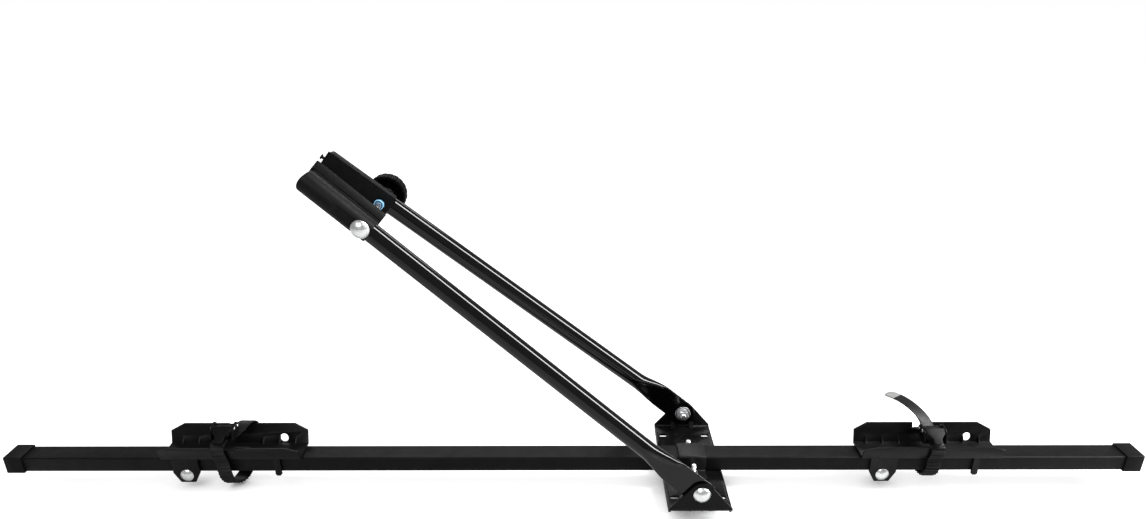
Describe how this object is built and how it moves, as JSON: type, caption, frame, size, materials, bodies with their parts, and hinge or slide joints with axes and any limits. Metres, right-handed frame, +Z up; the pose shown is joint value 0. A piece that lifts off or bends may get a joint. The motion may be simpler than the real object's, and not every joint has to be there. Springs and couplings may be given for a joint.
{
  "type": "roof bike carrier",
  "caption": "Roof bike carrier: a long rail with sliding wheel trays and straps, and a folding pair of arms with a screw clamp for the down tube.",
  "frame": {"origin": "centre of the base plate's four slots, on the plate's underside", "axes": "+X along the rail, +Y across it to the back, +Z up, away from the roof bar"},
  "size_m": [1.45, 0.2108, 0.4248],
  "materials": {
    "rail_paint": "satin black powder coat",
    "sheet_paint": "gloss black paint",
    "arm_paint": "gloss black paint",
    "cap_plastic": "fine matte",
    "jaw_plastic": "matte",
    "pad_rubber": "matte",
    "knob_plastic": "matte",
    "blue_nylon": "smooth",
    "zinc": "bright zinc plate",
    "tray_plastic": "satin",
    "strap_plastic": "smooth satin",
    "buckle_plastic": "smooth"
  },
  "bodies": {
    "base": {"rail": "rail_paint", "end_cap_left": "cap_plastic", "end_cap_right": "cap_plastic", "base_plate": "sheet_paint", "rail_saddle": "sheet_paint", "saddle_bolt_front": "zinc", "saddle_bolt_back": "zinc", "saddle_nut_front": "zinc", "saddle_nut_back": "zinc", "pivot_bolt_front": "zinc", "pivot_bolt_back": "zinc", "pivot_nut_front": "zinc", "pivot_nut_back": "zinc"},
    "arm_washers": {"pivot_washer_front": "zinc", "pivot_washer_back": "zinc"},
    "front_clamp": {"front_arm": "arm_paint", "front_jaw": "jaw_plastic", "front_pad": "pad_rubber"},
    "back_clamp": {"back_arm": "arm_paint", "back_jaw": "jaw_plastic", "back_pad": "pad_rubber", "jaw_bush": "blue_nylon"},
    "bolt": {"clamp_bolt": "zinc"},
    "knob_slide": {"knob_washer": "zinc"},
    "knob": {"knob": "knob_plastic", "knob_nut": "zinc"},
    "left_tray": {"tray_left": "tray_plastic", "tray_bolt_left": "zinc", "tray_nut_left": "zinc", "strap_left": "strap_plastic", "buckle_frame_left": "buckle_plastic", "buckle_pins_left": "zinc"},
    "right_tray": {"tray_right": "tray_plastic", "tray_bolt_right": "zinc", "tray_nut_right": "zinc", "strap_right": "strap_plastic", "buckle_frame_right": "buckle_plastic", "buckle_pins_right": "zinc"},
    "left_lever": {"buckle_lever_left": "buckle_plastic"},
    "right_lever": {"buckle_lever_right": "buckle_plastic"}
  },
  "joints": [
    {"name": "arm_fold", "type": "hinge", "parent": "base", "child": "arm_washers", "pos_m": [0, 0, 0.0255], "axis": [0, 1, 0], "range_deg": [-32, 60]},
    {"name": "front_squeeze", "type": "hinge", "parent": "arm_washers", "child": "front_clamp", "pos_m": [0, -0.0947, 0.0255], "axis": [-0.6414, 0, -0.7672], "range_deg": [0, 1.42]},
    {"name": "back_squeeze", "type": "hinge", "parent": "arm_washers", "child": "back_clamp", "pos_m": [0, 0.0947, 0.0255], "axis": [0.6414, 0, 0.7672], "range_deg": [0, 1.42]},
    {"name": "bolt_travel", "type": "slide", "parent": "arm_washers", "child": "bolt", "axis": [0.0783, 0.9948, -0.0655], "range_m": [0, 0.01226]},
    {"name": "knob_travel", "type": "slide", "parent": "arm_washers", "child": "knob_slide", "axis": [0.0783, -0.9948, -0.0655], "range_m": [0, 0.01226]},
    {"name": "knob_spin", "type": "hinge", "parent": "knob_slide", "child": "knob", "pos_m": [-0.37683, 0.08, 0.34058], "axis": [0, -1, 0], "range_deg": [0, 7016]},
    {"name": "left_tray_slide", "type": "slide", "parent": "base", "child": "left_tray", "axis": [1, 0, 0], "range_m": [-0.16, 0.25]},
    {"name": "right_tray_slide", "type": "slide", "parent": "base", "child": "right_tray", "axis": [1, 0, 0], "range_m": [-0.14, 0.14]},
    {"name": "left_lever_lift", "type": "hinge", "parent": "left_tray", "child": "left_lever", "pos_m": [-0.5924, -0.00938, 0.06315], "axis": [-1, 0, 0], "range_deg": [0, 75]},
    {"name": "right_lever_lift", "type": "hinge", "parent": "right_tray", "child": "right_lever", "pos_m": [0.3026, -0.00909, 0.05826], "axis": [-1, 0, 0], "range_deg": [0, 75]}
  ],
  "couplings": [
    {"joint": "front_squeeze", "follows": "knob_spin", "ratio": 0.00020253},
    {"joint": "back_squeeze", "follows": "knob_spin", "ratio": 0.00020253},
    {"joint": "bolt_travel", "follows": "knob_spin", "m_per_rad": 0.000099958},
    {"joint": "knob_travel", "follows": "knob_spin", "m_per_rad": 0.000099958}
  ]
}
